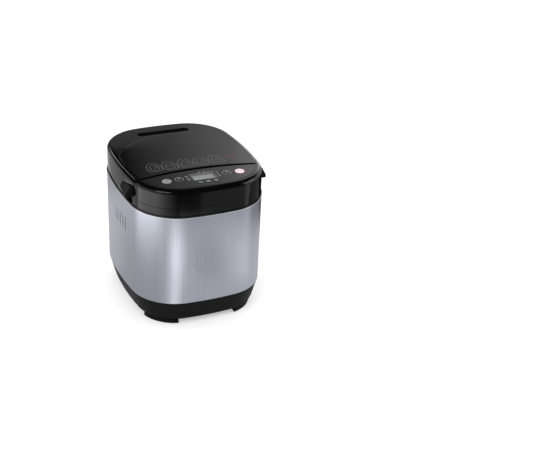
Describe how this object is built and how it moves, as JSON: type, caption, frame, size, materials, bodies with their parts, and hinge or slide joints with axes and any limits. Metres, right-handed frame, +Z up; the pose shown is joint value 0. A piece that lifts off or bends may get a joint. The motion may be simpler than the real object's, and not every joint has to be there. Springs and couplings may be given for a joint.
{
  "type": "bread machine",
  "caption": "Countertop bread machine: brushed steel body on a black base, hinged black lid with steam slot, front control panel, and a belt-driven pan and paddle inside.",
  "frame": {"origin": "on the floor under the middle of the body", "axes": "+Z up, the control panel and front face look along -Y, +X to the right seen from the front"},
  "size_m": [0.3032, 0.3346, 0.317],
  "materials": {
    "gloss_black": "polished black moulding",
    "satin_black": "fine-grained black moulding",
    "foot_rubber": "matt",
    "brushed_wrap": "brushed upright",
    "plated_steel": "zinc plated",
    "chamber_metal": "aluminised sheet",
    "pan_metal": "brushed outside, dark non-stick inside",
    "heater_tube": "heat-darkened tube",
    "white_ceramic": "unglazed ceramic",
    "cast_metal": "die-cast",
    "bearing_bronze": "sintered bronze",
    "grey_nylon": "moulded nylon",
    "belt_rubber": "matt",
    "lamination": "varnished steel sheets",
    "can_metal": "drawn can",
    "circuit_board": "solder mask",
    "switch_black": "moulded",
    "display_grey": "grey display",
    "clear_lens": "clear",
    "silver_key": "pale silver",
    "start_key": "pale with a red ring",
    "dark_key": "black with a pale ring",
    "nonstick_black": "coated black"
  },
  "bodies": {
    "housing": {"base_tray": "satin_black", "feet": "satin_black", "foot_pads": "foot_rubber", "chassis_screws": "plated_steel", "steel_wrap": "brushed_wrap", "top_frame": "satin_black", "hinge_pins": "plated_steel", "front_fascia": "gloss_black", "panel_overlay": "gloss_black", "display_window": "clear_lens", "lcd_module": "display_grey", "control_board": "circuit_board", "board_screws": "plated_steel", "key_switches": "switch_black", "oven_chamber": "chamber_metal", "heating_element": "heater_tube", "heater_insulators": "white_ceramic", "heater_clips": "plated_steel", "temperature_sensor": "plated_steel", "chamber_spacers": "plated_steel", "chassis_plate": "plated_steel", "bearing_housing": "cast_metal", "shaft_bushes": "bearing_bronze", "drive_belt": "belt_rubber", "motor_stator": "lamination", "motor_end_caps": "cast_metal", "motor_capacitor": "can_metal", "board_standoffs": "plated_steel", "power_board": "circuit_board", "power_transformer": "lamination", "cord_gland": "satin_black", "pan_socket": "cast_metal"},
    "lid": {"lid_shell": "gloss_black", "lid_top_plate": "gloss_black", "lid_liner": "chamber_metal", "liner_screws": "plated_steel", "steam_vent": "satin_black", "lid_grips": "satin_black"},
    "drive": {"drive_shaft": "plated_steel", "drive_dog": "cast_metal", "driven_pulley": "grey_nylon", "pulley_clip": "plated_steel"},
    "rotor": {"motor_rotor": "lamination", "motor_pulley": "grey_nylon"},
    "pan": {"bread_pan": "pan_metal", "pan_base": "nonstick_black", "pan_bush": "bearing_bronze", "bail_ears": "plated_steel"},
    "bail": {"pan_bail": "plated_steel"},
    "paddle": {"pan_shaft": "plated_steel", "pan_wing": "cast_metal", "kneading_paddle": "nonstick_black"},
    "menu_key": {"menu_button": "silver_key"},
    "crust_key": {"crust_button": "dark_key"},
    "weight_key": {"weight_button": "dark_key"},
    "start_stop_key": {"start_stop_button": "start_key"},
    "minus_key": {"minus_button": "dark_key"},
    "light_key": {"light_button": "dark_key"},
    "plus_key": {"plus_button": "dark_key"}
  },
  "joints": [
    {"name": "lid_hinge", "type": "hinge", "parent": "housing", "child": "lid", "pos_m": [0, 0.1615, 0.26965], "axis": [-1, 0, 0], "range_deg": [0, 85]},
    {"name": "pan_lift", "type": "slide", "parent": "housing", "child": "pan", "axis": [0, 0, 1], "range_m": [0, 0.008]},
    {"name": "bail_swing", "type": "hinge", "parent": "pan", "child": "bail", "pos_m": [0, 0.044, 0.2559], "axis": [1, 0, 0], "range_deg": [0, 25]},
    {"name": "drive_spin", "type": "hinge", "parent": "housing", "child": "drive", "pos_m": [0, 0.044, 0.0623], "axis": [0, 0, 1], "continuous": true},
    {"name": "motor_spin", "type": "hinge", "parent": "housing", "child": "rotor", "pos_m": [-0.062, -0.10225, 0.0623], "axis": [0, 0, 1], "continuous": true},
    {"name": "paddle_spin", "type": "hinge", "parent": "pan", "child": "paddle", "pos_m": [0, 0.044, 0.1036], "axis": [0, 0, 1], "continuous": true},
    {"name": "menu_key_press", "type": "slide", "parent": "housing", "child": "menu_key", "axis": [0, 0.0436, -0.999], "range_m": [0, 0.0008], "stiffness_N_per_m": 900},
    {"name": "crust_key_press", "type": "slide", "parent": "housing", "child": "crust_key", "axis": [0, 0.0436, -0.999], "range_m": [0, 0.0008], "stiffness_N_per_m": 900},
    {"name": "weight_key_press", "type": "slide", "parent": "housing", "child": "weight_key", "axis": [0, 0.0436, -0.999], "range_m": [0, 0.0008], "stiffness_N_per_m": 900},
    {"name": "start_stop_key_press", "type": "slide", "parent": "housing", "child": "start_stop_key", "axis": [0, 0.0436, -0.999], "range_m": [0, 0.0008], "stiffness_N_per_m": 900},
    {"name": "minus_key_press", "type": "slide", "parent": "housing", "child": "minus_key", "axis": [0, 0.0436, -0.999], "range_m": [0, 0.0008], "stiffness_N_per_m": 900},
    {"name": "light_key_press", "type": "slide", "parent": "housing", "child": "light_key", "axis": [0, 0.0436, -0.999], "range_m": [0, 0.0008], "stiffness_N_per_m": 900},
    {"name": "plus_key_press", "type": "slide", "parent": "housing", "child": "plus_key", "axis": [0, 0.0436, -0.999], "range_m": [0, 0.0008], "stiffness_N_per_m": 900}
  ],
  "couplings": [
    {"joint": "motor_spin", "follows": "drive_spin", "ratio": 5},
    {"joint": "paddle_spin", "follows": "drive_spin", "ratio": 1}
  ]
}
